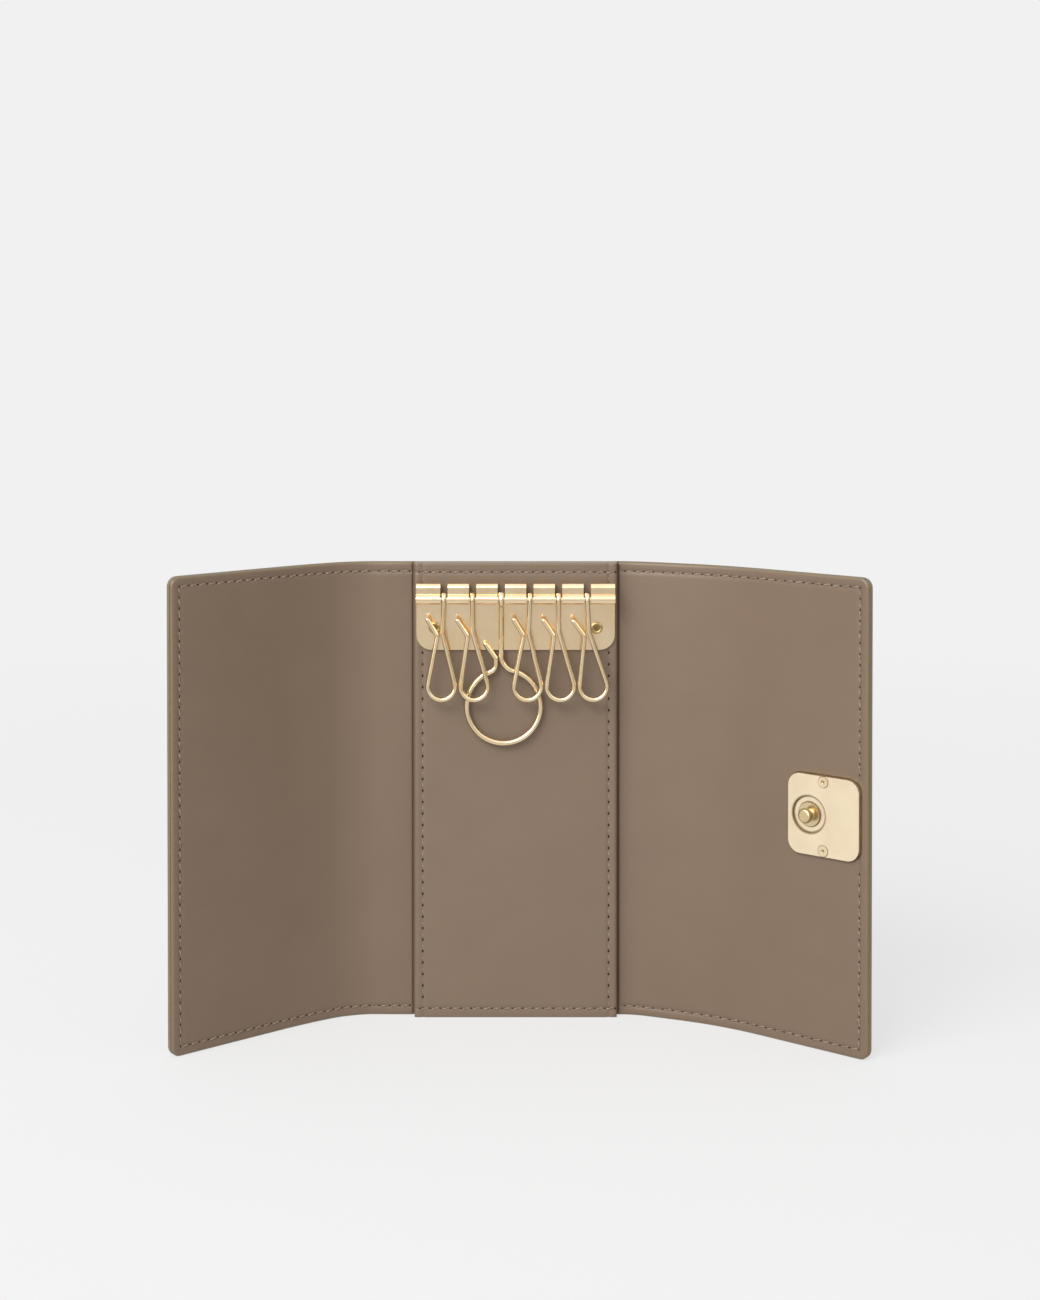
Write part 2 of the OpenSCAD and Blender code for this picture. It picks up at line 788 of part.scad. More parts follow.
spine_outer();
spine_lining();
hook_panel_cover();
hook_panel_backing();
key_frame();
hook_rod();
frame_rivets();
frame_rivet_washers();
key_hook(0);  // key_hook_1
key_hook(1);  // key_hook_2
ring_hook();
key_hook(2);  // key_hook_3
key_hook(3);  // key_hook_4
key_hook(4);  // key_hook_5
left_side_outer();
left_side_lining();
left_flap_outer();
left_flap_lining();
left_flap_board();
right_side_outer();
right_side_lining();
right_flap_outer();
right_flap_lining();
right_flap_board();
stud_plate();
snap_stud();
stud_plate_rivets();
stud_washer();
snap_socket();
socket_springs();
socket_washer();
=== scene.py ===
"""Looks of an open trifold key case.

Smooth calf leather, a raised hook panel with a gold key frame and wire hooks, and a snap.
Lengths here are in millimetres and become metres where a mesh is made. Only the floor and the lamps
are placed in metres.
+X points right across the open case, -Y out of its open side, +Z up.
A place on the leather is (s, z). s runs along it from the middle of the spine, positive to the right.
A level counts through the leather: 0 at its middle, positive towards the outside of the case.
"""
import bpy
import json
import math
import random
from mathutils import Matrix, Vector


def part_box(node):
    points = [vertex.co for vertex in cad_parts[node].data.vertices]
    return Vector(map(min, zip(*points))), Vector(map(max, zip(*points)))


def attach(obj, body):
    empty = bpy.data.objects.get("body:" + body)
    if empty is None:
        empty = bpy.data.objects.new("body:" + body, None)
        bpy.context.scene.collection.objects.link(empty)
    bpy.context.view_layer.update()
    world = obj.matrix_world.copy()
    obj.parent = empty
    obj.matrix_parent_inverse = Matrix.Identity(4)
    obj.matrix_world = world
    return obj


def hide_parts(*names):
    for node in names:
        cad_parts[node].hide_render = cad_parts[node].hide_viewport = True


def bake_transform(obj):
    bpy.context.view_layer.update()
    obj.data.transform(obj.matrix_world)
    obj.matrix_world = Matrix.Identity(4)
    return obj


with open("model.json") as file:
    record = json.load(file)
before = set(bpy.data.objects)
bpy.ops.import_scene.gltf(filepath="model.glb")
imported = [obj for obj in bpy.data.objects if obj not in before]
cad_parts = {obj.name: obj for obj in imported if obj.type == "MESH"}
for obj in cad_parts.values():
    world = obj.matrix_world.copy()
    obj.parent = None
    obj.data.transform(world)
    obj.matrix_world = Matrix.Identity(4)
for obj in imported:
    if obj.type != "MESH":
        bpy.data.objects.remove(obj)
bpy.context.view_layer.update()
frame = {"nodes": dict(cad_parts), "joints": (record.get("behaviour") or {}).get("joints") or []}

MM = 0.001
X, Y, Z = 0, 1, 2


# Sizes, from the construction's own nodes and joints where they show them.


def clean(value):
    """A value rounded to four decimals, which frees it from the noise of the files."""
    return round(value, 4)


def span(node, axis):
    """Where a node of the construction starts and ends along an axis, in millimetres."""
    low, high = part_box(node)
    return clean(low[axis] / MM), clean(high[axis] / MM)


def fold_at(joint_name):
    """A fold's line, from the construction's own joint, in millimetres."""
    joint = next(j for j in frame["joints"] if j["name"] == joint_name)
    return joint["pos_m"][X] / MM, joint["pos_m"][Y] / MM


def side_strip(inner_fold, outer_fold):
    """A side strip's distance from the spine's middle, its width, and the degrees by which it leans to the
    open side, which the construction sets to a tenth of a degree."""
    (x0, y0), (x1, y1) = fold_at(inner_fold), fold_at(outer_fold)
    lean = math.degrees(math.atan2(y0 - y1, abs(x1 - x0)))
    return abs(x0), clean(math.hypot(x1 - x0, y1 - y0)), round(lean, 1)


def bend_reach(length, degrees):
    """How far a flap's curved part reaches along the line on which it starts."""
    turn = math.radians(degrees)
    return clean(length / turn * math.sin(turn))


# Leather: its height, the levels of its inner face, of its seam and of its outer face, and its corners.
CASE_H = span("spine_outer", Z)[1]
INSIDE = span("spine_lining", Y)[0]
SEAM, OUTSIDE = span("spine_outer", Y)
CORNER_R = 2.3
# Side strips, each between its two folds.
LEFT_FOLD, LEFT_STRIP, LEFT_STRIP_DEG = side_strip("left_inner_fold", "left_outer_fold")
RIGHT_FOLD, RIGHT_STRIP, RIGHT_STRIP_DEG = side_strip("right_inner_fold", "right_outer_fold")
# Each flap turns at its outer fold, and then over the length of its curved part.
LEFT_BEND, LEFT_OUTER_DEG, LEFT_BEND_DEG = 20.0, 32.0, 10.0
RIGHT_BEND, RIGHT_OUTER_DEG, RIGHT_BEND_DEG = 18.0, 2.0, 14.5
# Headings of the leather away from the spine, in degrees towards the open side.
LEFT_FLAP_DEG, RIGHT_FLAP_DEG = LEFT_STRIP_DEG + LEFT_OUTER_DEG, RIGHT_STRIP_DEG + RIGHT_OUTER_DEG
LEFT_END_DEG, RIGHT_END_DEG = LEFT_FLAP_DEG + LEFT_BEND_DEG, RIGHT_FLAP_DEG + RIGHT_BEND_DEG

# Hook panel: its half width, and the y of its front, of the joint between its two layers and of its back.
PANEL_HALF = span("hook_panel_cover", X)[1]
PANEL_FRONT, PANEL_JOINT = span("hook_panel_cover", Y)
PANEL_BACK = span("hook_panel_backing", Y)[1]
# Heads of the frame's two rivets. Their middle lies a little behind the rolled rim.
RIVET_HEAD_R, RIVET_SUNK = 1.45, 0.25
RIVET_X = span("frame_rivets", X)[1] - RIVET_HEAD_R
RIVET_Y = span("frame_rivets", Y)[0] + RIVET_SUNK
RIVET_Z = sum(span("frame_rivets", Z)) / 2

# Snap: where it stands across the closed case, the square plate with its pins and its stud, and the hole
# for the socket.
SNAP_X = -4.4
SNAP_Z = sum(span("stud_plate", Z)) / 2
PLATE_HALF = span("stud_plate", Z)[1] - SNAP_Z
PLATE_T, PLATE_MARGIN = 1.0, 1.8
PLATE_FACE = INSIDE - PLATE_T
PIN_OFFSET, STUD_SHIFT = 7.8, 3.7
STUD_HEAD_LEVEL = -3.9
SOCKET_HOLE_R = 2.75
# The stud and the socket meet in the closed case, which gives their distances past the curved parts.
STUD_ALONG = RIGHT_FOLD - bend_reach(RIGHT_BEND, RIGHT_BEND_DEG) - SNAP_X
SOCKET_ALONG = LEFT_FOLD - bend_reach(LEFT_BEND, LEFT_BEND_DEG) + SNAP_X
LEFT_STRAIGHT, RIGHT_STRAIGHT = 29.7, STUD_ALONG + STUD_SHIFT + PLATE_HALF + PLATE_MARGIN

# Places along the leather: its ends, where it is divided into pieces, and the snap.
LEFT_END = -(LEFT_FOLD + LEFT_STRIP + LEFT_BEND + LEFT_STRAIGHT)
RIGHT_END = RIGHT_FOLD + RIGHT_STRIP + RIGHT_BEND + RIGHT_STRAIGHT
LEFT_SPLIT = -(LEFT_FOLD + LEFT_STRIP / 2)
RIGHT_SPLIT = RIGHT_FOLD + RIGHT_STRIP / 2
SOCKET_S = -(LEFT_FOLD + LEFT_STRIP + LEFT_BEND + SOCKET_ALONG)
STUD_S = RIGHT_FOLD + RIGHT_STRIP + RIGHT_BEND + STUD_ALONG
PLATE_CENTRE_S = STUD_S + STUD_SHIFT

# Crease that the hook panel's seam pulls into the lining beside it.
CREASE_AT, CREASE_HALF, CREASE_DEPTH = 24.3, 0.24, 0.35

# Stitch lines: distance from the edge, needle holes' spacing, and the pressed groove.
STITCH_INSET = 2.2
PANEL_SIDE_INSET = 2.0
STITCH_PITCH = 2.45
PANEL_PITCH = 2.73
GROOVE_DEPTH = 0.16
GROOVE_HALF = 0.45


# Materials.


def srgb(hex_colour):
    """Turns an sRGB hex colour into the linear colour that a shader takes."""
    parts = [int(hex_colour[i:i + 2], 16) / 255 for i in (1, 3, 5)]
    return [c / 12.92 if c <= 0.04045 else ((c + 0.055) / 1.055) ** 2.4 for c in parts] + [1.0]


def add(tree, kind, links=None, **settings):
    """Adds one node. Settings name its properties or input sockets, and links its inputs' sources."""
    made = tree.nodes.new(kind)
    for key, value in settings.items():
        if hasattr(made, key):
            setattr(made, key, value)
        else:
            made.inputs[key.replace("_", " ")].default_value = value
    for key, source in (links or {}).items():
        tree.links.new(source, made.inputs[key])
    return made


def new_material(name):
    """An empty material and its node tree."""
    material = bpy.data.materials.new(name)
    material.use_nodes = True
    tree = material.node_tree
    tree.nodes.clear()
    return material, tree


def object_place(tree):
    """The place on the piece, in metres, that patterns are laid out in."""
    return add(tree, "ShaderNodeTexCoord").outputs["Object"]


def blend_colours(tree, share, first, second):
    """Mixes two colours, each a hex text or a socket, by a share."""
    mix = add(tree, "ShaderNodeMix", {"Factor": share}, data_type="RGBA")
    for index, colour in ((6, first), (7, second)):
        if isinstance(colour, str):
            mix.inputs[index].default_value = srgb(colour)
        else:
            tree.links.new(colour, mix.inputs[index])
    return mix.outputs[2]


def ramp(tree, source, low, high, to_low=0.0, to_high=1.0):
    """Turns a value between low and high into one between to_low and to_high, and holds it there."""
    return add(tree, "ShaderNodeMapRange", {"Value": source}, clamp=True, From_Min=low, From_Max=high,
               To_Min=to_low, To_Max=to_high).outputs["Result"]


def calf_leather(name, base, deep, pale, paint, roughness):
    """Box calf: aniline-dyed, glazed to a soft satin. The eye sees a fine closed grain,
    faint clouding of the dye, and a painted edge that is a shade more olive."""
    material, tree = new_material(name)
    place = object_place(tree)
    # Dye clouds about 30 mm across, drifts of tone about 9 mm across.
    clouds = add(tree, "ShaderNodeTexNoise", {"Vector": place},
                 Scale=1 / (30 * MM), Detail=2.0, Roughness=0.45)
    drift = add(tree, "ShaderNodeTexNoise", {"Vector": place},
                Scale=1 / (9 * MM), Detail=2.0, Roughness=0.45)
    colour = blend_colours(tree, ramp(tree, clouds.outputs["Fac"], 0.3, 0.7, 0.0, 0.35), base, deep)
    colour = blend_colours(tree, ramp(tree, drift.outputs["Fac"], 0.35, 0.75, 0.0, 0.2), colour, pale)
    # Closed calf grain, 0.35 mm from pore to pore, over a finer wrinkle of 0.9 mm.
    grain = add(tree, "ShaderNodeTexVoronoi", {"Vector": place}, Scale=1 / (0.35 * MM), Randomness=1.0)
    wrinkle = add(tree, "ShaderNodeTexNoise", {"Vector": place},
                  Scale=1 / (0.9 * MM), Detail=4.0, Roughness=0.6)
    colour = blend_colours(tree, ramp(tree, grain.outputs["Distance"], 0.0, 0.35, 0.2, 0.0), colour, deep)
    # Edge paint covers the cut edge and laps about 0.4 mm over the face.
    inset = add(tree, "ShaderNodeAttribute", attribute_name="inset_mm").outputs["Fac"]
    painted = ramp(tree, inset, 0.3, 0.5, 1.0, 0.0)
    colour = blend_colours(tree, painted, colour, paint)
    # The stitch line is pressed in, and its groove is coloured a little darker.
    groove = add(tree, "ShaderNodeAttribute", attribute_name="groove").outputs["Fac"]
    colour = blend_colours(tree, ramp(tree, groove, 0.0, 1.0, 0.0, 0.45), colour, deep)
    # Painted shade: the crease beside the hook panel, a real groove, is darkened in colour as well.
    crease_painted_shade = "#4f3f30"
    crease = add(tree, "ShaderNodeAttribute", attribute_name="crease").outputs["Fac"]
    colour = blend_colours(tree, ramp(tree, crease, 0.1, 0.9, 0.0, 0.5), colour, crease_painted_shade)
    height = add(tree, "ShaderNodeMath", {0: grain.outputs["Distance"], 1: wrinkle.outputs["Fac"]},
                 operation="ADD")
    bump = add(tree, "ShaderNodeBump", {"Height": height.outputs[0]}, Strength=0.10, Distance=0.05 * MM)
    sheen_drift = ramp(tree, clouds.outputs["Fac"], 0.3, 0.7, roughness - 0.04, roughness + 0.05)
    shader = add(tree, "ShaderNodeBsdfPrincipled",
                 {"Base Color": colour, "Roughness": sheen_drift, "Normal": bump.outputs["Normal"]},
                 IOR=1.5, Specular_IOR_Level=0.42)
    add(tree, "ShaderNodeOutputMaterial", {"Surface": shader.outputs[0]})
    return material


def sewing_thread(name, base, deep):
    """Bonded polyester thread, twisted: matt, with fine slanted plies 0.3 mm apart."""
    material, tree = new_material(name)
    place = object_place(tree)
    plies = add(tree, "ShaderNodeTexWave", {"Vector": place}, Scale=1 / (2.2 * MM), Distortion=1.5,
                bands_direction="DIAGONAL")
    colour = blend_colours(tree, plies.outputs["Fac"], base, deep)
    bump = add(tree, "ShaderNodeBump", {"Height": plies.outputs["Fac"]}, Strength=0.3, Distance=0.05 * MM)
    shader = add(tree, "ShaderNodeBsdfPrincipled", {"Base Color": colour, "Normal": bump.outputs["Normal"]},
                 Roughness=0.62, IOR=1.5, Sheen_Weight=0.15)
    add(tree, "ShaderNodeOutputMaterial", {"Surface": shader.outputs[0]})
    return material


def needle_hole(name, base, deep):
    """The inside of a needle hole: raw leather in shade, with no gloss."""
    material, tree = new_material(name)
    noise = add(tree, "ShaderNodeTexNoise", {"Vector": object_place(tree)}, Scale=1 / (0.4 * MM))
    colour = blend_colours(tree, ramp(tree, noise.outputs["Fac"], 0.3, 0.7), base, deep)
    shader = add(tree, "ShaderNodeBsdfPrincipled", {"Base Color": colour},
                 Roughness=0.9, Specular_IOR_Level=0.1)
    add(tree, "ShaderNodeOutputMaterial", {"Surface": shader.outputs[0]})
    return material


def rim_shade_leather(name, base, deep):
    """Leather beside metal, darker than the face around it as painted shade, its grain closed and dull."""
    material, tree = new_material(name)
    patches = add(tree, "ShaderNodeTexNoise", {"Vector": object_place(tree)}, Scale=1 / (1.5 * MM))
    colour = blend_colours(tree, ramp(tree, patches.outputs["Fac"], 0.35, 0.65), base, deep)
    shader = add(tree, "ShaderNodeBsdfPrincipled", {"Base Color": colour},
                 Roughness=0.7, Specular_IOR_Level=0.25)
    add(tree, "ShaderNodeOutputMaterial", {"Surface": shader.outputs[0]})
    return material


def gold_plate(name, base, warm, roughness, rings=()):
    """Pale gold plating over polished zinc or steel: a full metal with a clear, slightly soft
    reflection, faint warm patches and a gloss that wanders a little. Each ring is painted shade in a corner
    or a dimple, darker in colour and duller in gloss: a centre, a radius and a width in
    millimetres."""
    # The rings' colour and gloss: painted shade, dark and dull.
    painted_ring_shade, dull = "#6b5530", 0.65
    material, tree = new_material(name)
    place = object_place(tree)
    patches = add(tree, "ShaderNodeTexNoise", {"Vector": place}, Scale=1 / (6 * MM), Detail=2.0)
    colour = blend_colours(tree, ramp(tree, patches.outputs["Fac"], 0.35, 0.65), base, warm)
    # Polishing leaves the gloss uneven over about 2.5 mm.
    marks = add(tree, "ShaderNodeTexNoise", {"Vector": place},
                Scale=1 / (2.5 * MM), Detail=3.0, Roughness=0.5)
    gloss = ramp(tree, marks.outputs["Fac"], 0.3, 0.7, roughness * 0.9, roughness * 1.15)
    for centre, radius, width in rings:
        away = add(tree, "ShaderNodeVectorMath", {0: place}, operation="DISTANCE")
        away.inputs[1].default_value = centre
        off = add(tree, "ShaderNodeMath", {0: away.outputs["Value"]}, operation="SUBTRACT")
        off.inputs[1].default_value = radius * MM
        gap = add(tree, "ShaderNodeMath", {0: off.outputs[0]}, operation="ABSOLUTE")
        shade = ramp(tree, gap.outputs[0], 0.3 * width * MM, width * MM, 0.8, 0.0)
        colour = blend_colours(tree, shade, colour, painted_ring_shade)
        gloss = add(tree, "ShaderNodeMix", {"Factor": shade, "A": gloss}, B=dull).outputs[0]
    shader = add(tree, "ShaderNodeBsdfPrincipled", {"Base Color": colour, "Roughness": gloss}, Metallic=1.0)
    add(tree, "ShaderNodeOutputMaterial", {"Surface": shader.outputs[0]})
    return material


def fibre_board(name, base, deep):
    """Grey-brown bonded fibre board: matt, with short fibres about 1 mm long."""
    material, tree = new_material(name)
    fibres = add(tree, "ShaderNodeTexNoise", {"Vector": object_place(tree)}, Scale=1 / (1 * MM), Detail=4.0)
    colour = blend_colours(tree, ramp(tree, fibres.outputs["Fac"], 0.35, 0.65), base, deep)
    shader = add(tree, "ShaderNodeBsdfPrincipled", {"Base Color": colour}, Roughness=0.85)
    add(tree, "ShaderNodeOutputMaterial", {"Surface": shader.outputs[0]})
    return material


OUTER_LEATHER = calf_leather("outer_calf", "#7f6c5a", "#746150", "#88755f", "#7f6f56", 0.42)
LINING_LEATHER = calf_leather("lining_calf", "#7e6a58", "#73604f", "#86725e", "#7f6f56", 0.36)
PANEL_LEATHER = calf_leather("panel_calf", "#806d5b", "#766352", "#887563", "#826f5c", 0.38)
THREAD = sewing_thread("taupe_thread", "#998570", "#7a6856")
HOLE = needle_hole("needle_hole", "#3d2f24", "#2a1f17")
# The rim round the stud plate: painted shade, dark leather.
RIM_SHADE = rim_shade_leather("rim_shade_calf", "#5e4c37", "#514029")
FRAME_GOLD = gold_plate("frame_gold", "#f2dab5", "#eed4ab", 0.2)
HOOK_GOLD = gold_plate("hook_gold", "#ebd7b4", "#e4cda4", 0.15)
BOARD = fibre_board("fibre_board", "#b9a88d", "#a08f75")


# Path of the leather.


def fold_path():
    """The construction's middle line, seen from above: its step, and a point (x, y) for each step along it
    from the spine's middle, negative to the left. It runs on a little past both ends."""
    step = 0.05
    overrun = 12.0

    def heading(side, s):
        """Degrees towards the open side, on one side of the spine, at a distance from its middle."""
        if side < 0:
            fold, strip, bend = LEFT_FOLD, LEFT_STRIP, LEFT_BEND
            degrees = LEFT_STRIP_DEG, LEFT_FLAP_DEG, LEFT_END_DEG
        else:
            fold, strip, bend = RIGHT_FOLD, RIGHT_STRIP, RIGHT_BEND
            degrees = RIGHT_STRIP_DEG, RIGHT_FLAP_DEG, RIGHT_END_DEG
        if s < fold:
            return 0.0
        if s < fold + strip:
            return degrees[0]
        share = min((s - fold - strip) / bend, 1.0)
        return degrees[1] + (degrees[2] - degrees[1]) * share

    points = {}
    points[0] = (0.0, 0.0)
    for side, end in ((-1, -LEFT_END), (1, RIGHT_END)):
        x = y = 0.0
        count = int((end + overrun) / step)
        for i in range(1, count + 1):
            turn = math.radians(heading(side, (i - 0.5) * step))
            x += side * math.cos(turn) * step
            y -= math.sin(turn) * step
            points[side * i] = (x, y)
    return step, points


# The left flap's fold is the softest: its place along the leather, how far round it, and how much more.
SOFT_FOLD, SOFT_REACH, SOFT_GAIN = -(LEFT_FOLD + LEFT_STRIP + 1.5), 9.0, 0.9


def smoothed(step, points, half_window):
    """Rounds the folds: each point becomes the mean of its neighbours within half a window."""
    low, high = min(points), max(points)
    sums = [(0.0, 0.0)]
    for i in range(low, high + 1):
        sums.append((sums[-1][0] + points[i][0], sums[-1][1] + points[i][1]))
    margin = int(2 * half_window / step)
    rounded = {}
    for i in range(low + margin, high - margin + 1):
        soft = math.exp(-((i * step - SOFT_FOLD) / SOFT_REACH) ** 2)
        reach = int(half_window * (1 + SOFT_GAIN * soft) / step)
        first, last = i - reach - low, i + reach - low + 1
        count = last - first
        rounded[i] = ((sums[last][0] - sums[first][0]) / count, (sums[last][1] - sums[first][1]) / count)
    return rounded


# Two rounds of smoothing make each fold turn as softly as thick leather.
HALF_WINDOWS = (3.5, 1.1)
PATH_STEP, PATH = fold_path()
for half_window in HALF_WINDOWS:
    PATH = smoothed(PATH_STEP, PATH, half_window)


def on_leather(s, level, z):
    """The point of the case at a place on the leather, at a level through it, in metres."""
    i = s / PATH_STEP
    low = math.floor(i)
    share = i - low
    x0, y0 = PATH[low]
    x1, y1 = PATH[low + 1]
    # The leather's direction is taken over a few steps, so that it turns evenly.
    spread = 4
    xa, ya = PATH[low - spread]
    xb, yb = PATH[low + 1 + spread]
    length = math.hypot(xb - xa, yb - ya)
    along = ((xb - xa) / length, (yb - ya) / length)
    x = x0 + (x1 - x0) * share - along[1] * level
    y = y0 + (y1 - y0) * share + along[0] * level
    return (x * MM, y * MM, z * MM)


# Leather.


def spaced(low, high, step):
    """Places from low to high, both taken in, about a step apart."""
    count = max(1, round((high - low) / step))
    return [low + (high - low) * i / count for i in range(count + 1)]


# Steps between grid lines, where the leather bends and where it runs straight.
BEND_STEP, STRAIGHT_STEP = 0.8, 6.0
# Distances from a free edge of the lines that carry its rounding and the stitch line's groove.
EDGE_LINES = [0.0, 0.06, 0.18, 0.35, 0.6, 0.9, 1.25, 1.6, 1.85, 2.05, 2.2, 2.35, 2.55, 2.8, 3.3, 4.2, 6.0]


def grid_lines(low, high, low_free, high_free, step):
    """Lines across a piece, close together at its free sides and a step apart between them."""
    first = low + EDGE_LINES[-1] if low_free else low
    last = high - EDGE_LINES[-1] if high_free else high
    lines = spaced(first, last, step)
    if low_free:
        lines = [low + d for d in EDGE_LINES[:-1]] + lines
    if high_free:
        lines = lines + [high - d for d in reversed(EDGE_LINES[:-1])]
    return lines


def sheet_faces(index, last_i, last_j):
    """The faces of a sheet's two sides. index gives the vertex of a side and of two grid lines."""
    faces = []
    for i in range(last_i):
        for j in range(last_j):
            faces.append([index[0, i, j], index[0, i + 1, j], index[0, i + 1, j + 1], index[0, i, j + 1]])
            faces.append([index[1, i, j], index[1, i, j + 1], index[1, i + 1, j + 1], index[1, i + 1, j]])
    return faces


def sheet_rim(last_i, last_j):
    """The grid points round a sheet's rim, in order."""
    return ([(i, 0) for i in range(last_i)] + [(last_i, j) for j in range(last_j)]
            + [(i, last_j) for i in range(last_i, 0, -1)] + [(0, j) for j in range(last_j, 0, -1)])


def new_mesh(name, vertices, smooth_faces, flat_faces=()):
    """A mesh, of faces that are shaded as one soft surface and of flat ones."""
    mesh = bpy.data.meshes.new(name)
    mesh.from_pydata(vertices, [], [*smooth_faces, *flat_faces])
    for polygon in mesh.polygons:
        polygon.use_smooth = polygon.index < len(smooth_faces)
    return mesh


def corner_rounded(a, b, inset_a, inset_b, radius):
    """Moves a grid point near a free corner so that every line round the corner stays parallel to the edge.
    a and b count outwards to the two sides, inset_a and inset_b from them inwards."""
    inset = min(inset_a, inset_b)
    curve = radius - inset
    if curve <= 0:
        return a, b
    if inset_a <= inset_b:
        spare = curve - (inset_b - inset)
        if spare <= 0:
            return a, b
        turn = math.radians(45) * spare / curve
        return a - curve + curve * math.cos(turn), b - spare + curve * math.sin(turn)
    b, a = corner_rounded(b, a, inset_b, inset_a, radius)
    return a, b


def edge_round(inset, radius):
    """How far a face drops at a distance from its rounded edge."""
    if inset >= radius:
        return 0.0
    return radius - math.sqrt(max(radius ** 2 - (radius - inset) ** 2, 0.0))


def groove_share(distance):
    """How deep the stitch line's groove is at a distance from its middle, as a share of its depth."""
    return math.exp(-(distance / GROOVE_HALF) ** 2)


def crease_share(s):
    """How deep the crease beside the hook panel is, as a share of its depth."""
    return math.exp(-((abs(s) - CREASE_AT) / CREASE_HALF) ** 2)


def leather_layer(name, s_low, s_high, low, high, material, low_free=False, high_free=False,
                  low_round=0.05, high_round=0.05, groove_low=False, groove_high=False, crease=0):
    """A closed layer of leather between two levels, rounded at its free sides, with a pressed stitch
    line. crease is the side, -1 or 1, where the hook panel's crease is pressed in, or 0 for none."""
    s_lines = grid_lines(s_low, s_high, low_free, high_free, BEND_STEP)
    if crease:
        spare = 0.2
        close = [crease * (CREASE_AT + CREASE_HALF * k / 3) for k in range(-7, 8)]
        s_lines = sorted([s for s in s_lines if min(abs(s - c) for c in close) > spare] + close)
    z_lines = grid_lines(0.0, CASE_H, True, True, STRAIGHT_STEP)
    # An end that meets the next piece counts as far from any edge.
    far = 1e3
    vertices, insets, grooves, creases = [], [], [], []

    def place(s, z):
        inset_s_low = s - s_low if low_free else far
        inset_s_high = s_high - s if high_free else far
        inset_z_low, inset_z_high = z, CASE_H - z
        inset_s, inset_z = min(inset_s_low, inset_s_high), min(inset_z_low, inset_z_high)
        inset = min(inset_s, inset_z)
        if max(inset_s, inset_z) < CORNER_R:
            s_sign = -1 if inset_s_low < inset_s_high else 1
            z_sign = -1 if inset_z_low < inset_z_high else 1
            a, b = corner_rounded(s_sign * s, z_sign * z, inset_s, inset_z, CORNER_R)
            s, z = s_sign * a, z_sign * b
        return s, z, inset

    def face_level(side, inset, s):
        if side == 0:
            groove = GROOVE_DEPTH * groove_share(inset - STITCH_INSET) if groove_low else 0.0
            if crease:
                groove = max(groove, CREASE_DEPTH * crease_share(s))
            # Under the hook panel the edge stays square, so that no slit shows between the two.
            easing, least = 1.5, 0.1
            beside_panel = min(max((abs(s) - PANEL_HALF + easing) / easing, least), 1.0)
            return low + edge_round(inset, low_round * beside_panel) + groove
        groove = GROOVE_DEPTH * groove_share(inset - STITCH_INSET) if groove_high else 0.0
        return high - edge_round(inset, high_round) - groove

    index = {}
    for side in (0, 1):
        grooved = groove_low if side == 0 else groove_high
        for i, s_line in enumerate(s_lines):
            for j, z_line in enumerate(z_lines):
                s, z, inset = place(s_line, z_line)
                index[side, i, j] = len(vertices)
                vertices.append(on_leather(s, face_level(side, inset, s), z))
                insets.append(inset)
                grooves.append(groove_share(inset - STITCH_INSET) if grooved else 0.0)
                creases.append(crease_share(s) if crease and side == 0 else 0.0)
    last_i, last_j = len(s_lines) - 1, len(z_lines) - 1
    faces, end_faces = sheet_faces(index, last_i, last_j), []
    # The wall between the two faces has a row of points half way through the leather.
    rim = sheet_rim(last_i, last_j)
    middle = {}
    for i, j in rim:
        s, z, _ = place(s_lines[i], z_lines[j])
        middle[i, j] = len(vertices)
        vertices.append(on_leather(s, (low + high) / 2, z))
        insets.append(0.0 if j in (0, last_j) or i == 0 and low_free or i == last_i and high_free
                      else min(z_lines[j], CASE_H - z_lines[j]))
        grooves.append(0.0)
        creases.append(0.0)
    for (i, j), (k, m) in zip(rim, rim[1:] + rim[:1]):
        joined_end = i == k and (i == 0 and not low_free or i == last_i and not high_free)
        target = end_faces if joined_end else faces
        target.append([index[0, k, m], index[0, i, j], middle[i, j], middle[k, m]])
        target.append([middle[k, m], middle[i, j], index[1, i, j], index[1, k, m]])
    mesh = new_mesh(name, vertices, faces, end_faces)
    mark_ends_sharp(mesh, len(faces))
    add_point_values(mesh, "inset_mm", insets)
    add_point_values(mesh, "groove", grooves)
    add_point_values(mesh, "crease", creases)
    return made_object(name, mesh, material)


def mark_ends_sharp(mesh, first_end):
    """Keeps the shading of a piece's faces apart from that of the ends where it meets the next piece."""
    end_edges = set()
    for polygon in list(mesh.polygons)[first_end:]:
        end_edges.update(polygon.edge_keys)
    for edge in mesh.edges:
        if tuple(sorted(edge.vertices)) in end_edges:
            edge.use_edge_sharp = True


def add_point_values(mesh, name, values):
    """Gives each vertex a number that the materials read."""
    attribute = mesh.attributes.new(name, "FLOAT", "POINT")
    attribute.data.foreach_set("value", values)


def made_object(name, mesh, material):
    """An object in the scene, from a mesh and one material."""
    mesh.validate()
    mesh.materials.append(material)
    made = bpy.data.objects.new(name, mesh)
    bpy.context.scene.collection.objects.link(made)
    return made


# Stitching.


